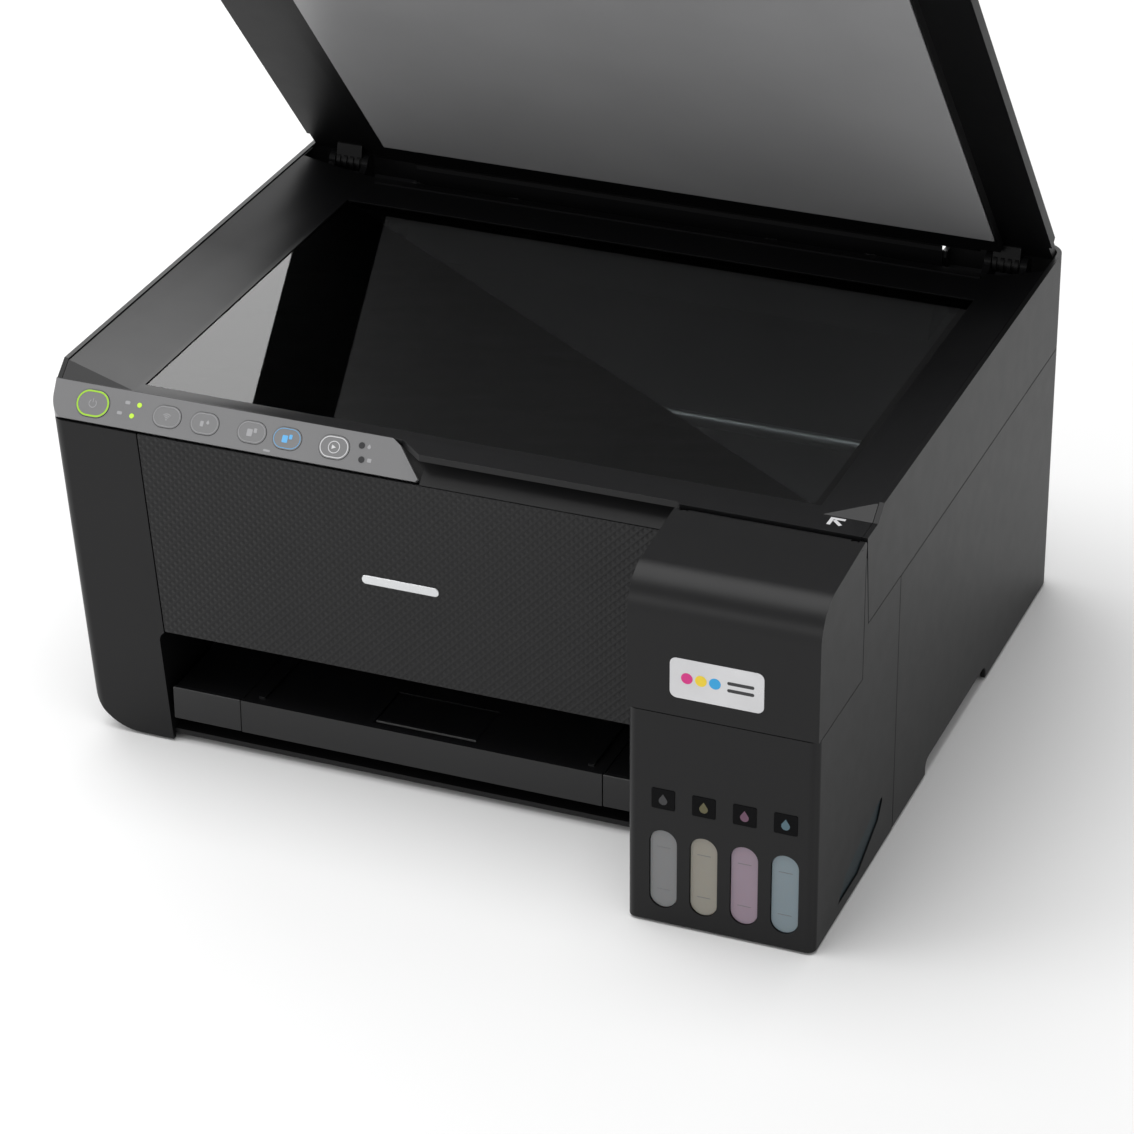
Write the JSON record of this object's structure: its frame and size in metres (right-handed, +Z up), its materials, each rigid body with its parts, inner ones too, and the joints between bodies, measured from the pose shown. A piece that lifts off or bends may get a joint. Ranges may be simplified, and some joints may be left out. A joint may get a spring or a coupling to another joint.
{
  "type": "inkjet printer",
  "caption": "Ink-tank inkjet printer with a flatbed scanner under an open lid, a front control strip, a paper tray, level windows and a rear paper slot.",
  "frame": {"origin": "centre of the footprint, on the surface that the feet stand on", "axes": "+X to the printer's right, +Y to its back, +Z up"},
  "size_m": [0.375, 0.347, 0.3726],
  "materials": {
    "casing": "fine-grained satin black",
    "casing_textured": "diagonal ribbed grain",
    "deck": "satin black",
    "lid": "matt black",
    "mat": "smooth grey",
    "glass": "clear",
    "control_strip": "glossy dark grey",
    "key_grey": "glossy grey",
    "key_green": "glossy, green ring",
    "key_blue": "glossy, blue mark",
    "light": "translucent light guide",
    "sheet_steel": "zinc-plated",
    "rod_steel": "ground",
    "rubber": "matt",
    "roller_rubber": "matt grey",
    "gear_plastic": "natural white",
    "inner_black": "plain black",
    "board": "solder mask",
    "foam": "porous felt",
    "tube": "translucent",
    "motor": "steel can",
    "tank_black": "translucent grey",
    "tank_yellow": "translucent beige",
    "tank_magenta": "translucent pink",
    "tank_cyan": "translucent blue",
    "cap_black": "glossy",
    "cap_yellow": "glossy",
    "cap_magenta": "glossy",
    "cap_cyan": "glossy",
    "label": "silver foil"
  },
  "bodies": {
    "base": {"bottom_pan": "casing", "left_cover": "casing", "right_cover": "casing", "rear_cover": "casing", "front_panel": "casing_textured", "rubber_feet": "rubber", "main_frame": "sheet_steel", "carriage_rail": "rod_steel", "drive_belt": "rubber", "carriage_motor": "motor", "feed_motor": "motor", "platen": "inner_black", "capping_station": "inner_black", "waste_ink_pad": "foam", "ink_tubes": "tube", "main_board": "board", "power_supply": "inner_black", "case_screws": "rod_steel", "tank_housing": "casing", "output_tray": "inner_black", "feeder_chute": "inner_black", "ink_tank_black": "tank_black", "ink_tank_yellow": "tank_yellow", "ink_tank_magenta": "tank_magenta", "ink_tank_cyan": "tank_cyan"},
    "tank_cover": {"tank_cover": "casing", "tank_label": "label"},
    "tank_cap_black": {"tank_cap_black": "cap_black"},
    "tank_cap_yellow": {"tank_cap_yellow": "cap_yellow"},
    "tank_cap_magenta": {"tank_cap_magenta": "cap_magenta"},
    "tank_cap_cyan": {"tank_cap_cyan": "cap_cyan"},
    "scanner_unit": {"scanner_case": "casing", "scanner_bezel": "deck", "scanner_glass": "glass", "control_panel": "control_strip", "indicator_lights": "light", "scan_rail": "rod_steel"},
    "power_button": {"power_button": "key_green"},
    "network_button": {"network_button": "key_grey"},
    "status_button": {"status_button": "key_grey"},
    "mono_copy_button": {"mono_copy_button": "key_grey"},
    "colour_copy_button": {"colour_copy_button": "key_blue"},
    "stop_button": {"stop_button": "key_grey"},
    "scan_head": {"scan_head": "inner_black"},
    "lid": {"lid_shell": "lid", "lid_mat": "mat"},
    "tray_slide": {"tray_slide": "inner_black"},
    "tray_stop": {"tray_stop": "inner_black"},
    "paper_support": {"paper_support": "casing"},
    "edge_guide_left": {"edge_guide_left": "inner_black"},
    "edge_guide_right": {"edge_guide_right": "inner_black"},
    "carriage": {"carriage": "inner_black", "print_head": "inner_black"},
    "feed_roller": {"feed_roller": "roller_rubber"},
    "idler_gear": {"idler_gear": "gear_plastic"},
    "exit_roller": {"exit_roller": "roller_rubber"},
    "motor_pinion": {"motor_pinion": "gear_plastic"},
    "pickup_roller": {"pickup_roller": "roller_rubber"},
    "drive_pulley": {"drive_pulley": "gear_plastic"},
    "idler_pulley": {"idler_pulley": "gear_plastic"}
  },
  "joints": [
    {"name": "scanner_unit_hinge", "type": "hinge", "parent": "base", "child": "scanner_unit", "pos_m": [0, 0.1685, 0.16], "axis": [-1, 0, 0], "range_deg": [0, 20]},
    {"name": "lid_hinge", "type": "hinge", "parent": "scanner_unit", "child": "lid", "pos_m": [0, 0.155, 0.1682], "axis": [-1, 0, 0], "range_deg": [-49.5, 5]},
    {"name": "tank_cover_hinge", "type": "hinge", "parent": "base", "child": "tank_cover", "pos_m": [0, -0.1205, 0.1641], "axis": [-1, 0, 0], "range_deg": [0, 95]},
    {"name": "tank_cap_black_pull", "type": "slide", "parent": "base", "child": "tank_cap_black", "axis": [0, 0, 1], "range_m": [0, 0.014]},
    {"name": "tank_cap_yellow_pull", "type": "slide", "parent": "base", "child": "tank_cap_yellow", "axis": [0, 0, 1], "range_m": [0, 0.014]},
    {"name": "tank_cap_magenta_pull", "type": "slide", "parent": "base", "child": "tank_cap_magenta", "axis": [0, 0, 1], "range_m": [0, 0.014]},
    {"name": "tank_cap_cyan_pull", "type": "slide", "parent": "base", "child": "tank_cap_cyan", "axis": [0, 0, 1], "range_m": [0, 0.014]},
    {"name": "power_button_press", "type": "slide", "parent": "scanner_unit", "child": "power_button", "axis": [0, 0.7913, -0.6114], "range_m": [0, 0.0006], "stiffness_N_per_m": 500, "springref_m": -0.0008},
    {"name": "network_button_press", "type": "slide", "parent": "scanner_unit", "child": "network_button", "axis": [0, 0.7913, -0.6114], "range_m": [0, 0.0006], "stiffness_N_per_m": 500, "springref_m": -0.0008},
    {"name": "status_button_press", "type": "slide", "parent": "scanner_unit", "child": "status_button", "axis": [0, 0.7913, -0.6114], "range_m": [0, 0.0006], "stiffness_N_per_m": 500, "springref_m": -0.0008},
    {"name": "mono_copy_button_press", "type": "slide", "parent": "scanner_unit", "child": "mono_copy_button", "axis": [0, 0.7913, -0.6114], "range_m": [0, 0.0006], "stiffness_N_per_m": 500, "springref_m": -0.0008},
    {"name": "colour_copy_button_press", "type": "slide", "parent": "scanner_unit", "child": "colour_copy_button", "axis": [0, 0.7913, -0.6114], "range_m": [0, 0.0006], "stiffness_N_per_m": 500, "springref_m": -0.0008},
    {"name": "stop_button_press", "type": "slide", "parent": "scanner_unit", "child": "stop_button", "axis": [0, 0.7913, -0.6114], "range_m": [0, 0.0006], "stiffness_N_per_m": 500, "springref_m": -0.0008},
    {"name": "scan_head_travel", "type": "slide", "parent": "scanner_unit", "child": "scan_head", "axis": [1, 0, 0], "range_m": [0, 0.276]},
    {"name": "tray_slide_pull", "type": "slide", "parent": "base", "child": "tray_slide", "axis": [0, -1, 0], "range_m": [0, 0.082]},
    {"name": "tray_stop_hinge", "type": "hinge", "parent": "tray_slide", "child": "tray_stop", "pos_m": [0, -0.1062, 0.0262], "axis": [1, 0, 0], "range_deg": [0, 75]},
    {"name": "paper_support_pull", "type": "slide", "parent": "base", "child": "paper_support", "axis": [0, 0, 1], "range_m": [0, 0.11]},
    {"name": "edge_guide_left_slide", "type": "slide", "parent": "base", "child": "edge_guide_left", "axis": [1, 0, 0], "range_m": [0, 0.06]},
    {"name": "edge_guide_right_slide", "type": "slide", "parent": "base", "child": "edge_guide_right", "axis": [-1, 0, 0], "range_m": [0, 0.06]},
    {"name": "carriage_travel", "type": "slide", "parent": "base", "child": "carriage", "axis": [-1, 0, 0], "range_m": [0, 0.222]},
    {"name": "feed_roller_spin", "type": "hinge", "parent": "base", "child": "feed_roller", "pos_m": [0, 0.0218, 0.049], "axis": [1, 0, 0], "continuous": true},
    {"name": "idler_gear_spin", "type": "hinge", "parent": "base", "child": "idler_gear", "pos_m": [-0.1495, -0.0092, 0.049], "axis": [1, 0, 0], "continuous": true},
    {"name": "exit_roller_spin", "type": "hinge", "parent": "base", "child": "exit_roller", "pos_m": [0, -0.0342, 0.049], "axis": [1, 0, 0], "continuous": true},
    {"name": "motor_pinion_spin", "type": "hinge", "parent": "base", "child": "motor_pinion", "pos_m": [-0.1495, 0.0218, 0.075], "axis": [1, 0, 0], "continuous": true},
    {"name": "pickup_roller_spin", "type": "hinge", "parent": "base", "child": "pickup_roller", "pos_m": [0, 0.09773, 0.08359], "axis": [1, 0, 0], "continuous": true},
    {"name": "drive_pulley_spin", "type": "hinge", "parent": "base", "child": "drive_pulley", "pos_m": [-0.1355, 0.0418, 0.098], "axis": [0, 1, 0], "continuous": true},
    {"name": "idler_pulley_spin", "type": "hinge", "parent": "base", "child": "idler_pulley", "pos_m": [0.1535, 0.0418, 0.098], "axis": [0, 1, 0], "continuous": true}
  ],
  "couplings": [
    {"joint": "edge_guide_right_slide", "follows": "edge_guide_left_slide", "ratio": 1},
    {"joint": "idler_gear_spin", "follows": "feed_roller_spin", "ratio": -1.3846},
    {"joint": "exit_roller_spin", "follows": "feed_roller_spin", "ratio": 1.5},
    {"joint": "motor_pinion_spin", "follows": "feed_roller_spin", "ratio": -2.25},
    {"joint": "drive_pulley_spin", "follows": "carriage_travel", "rad_per_m": 150.38},
    {"joint": "idler_pulley_spin", "follows": "carriage_travel", "rad_per_m": 150.38}
  ]
}
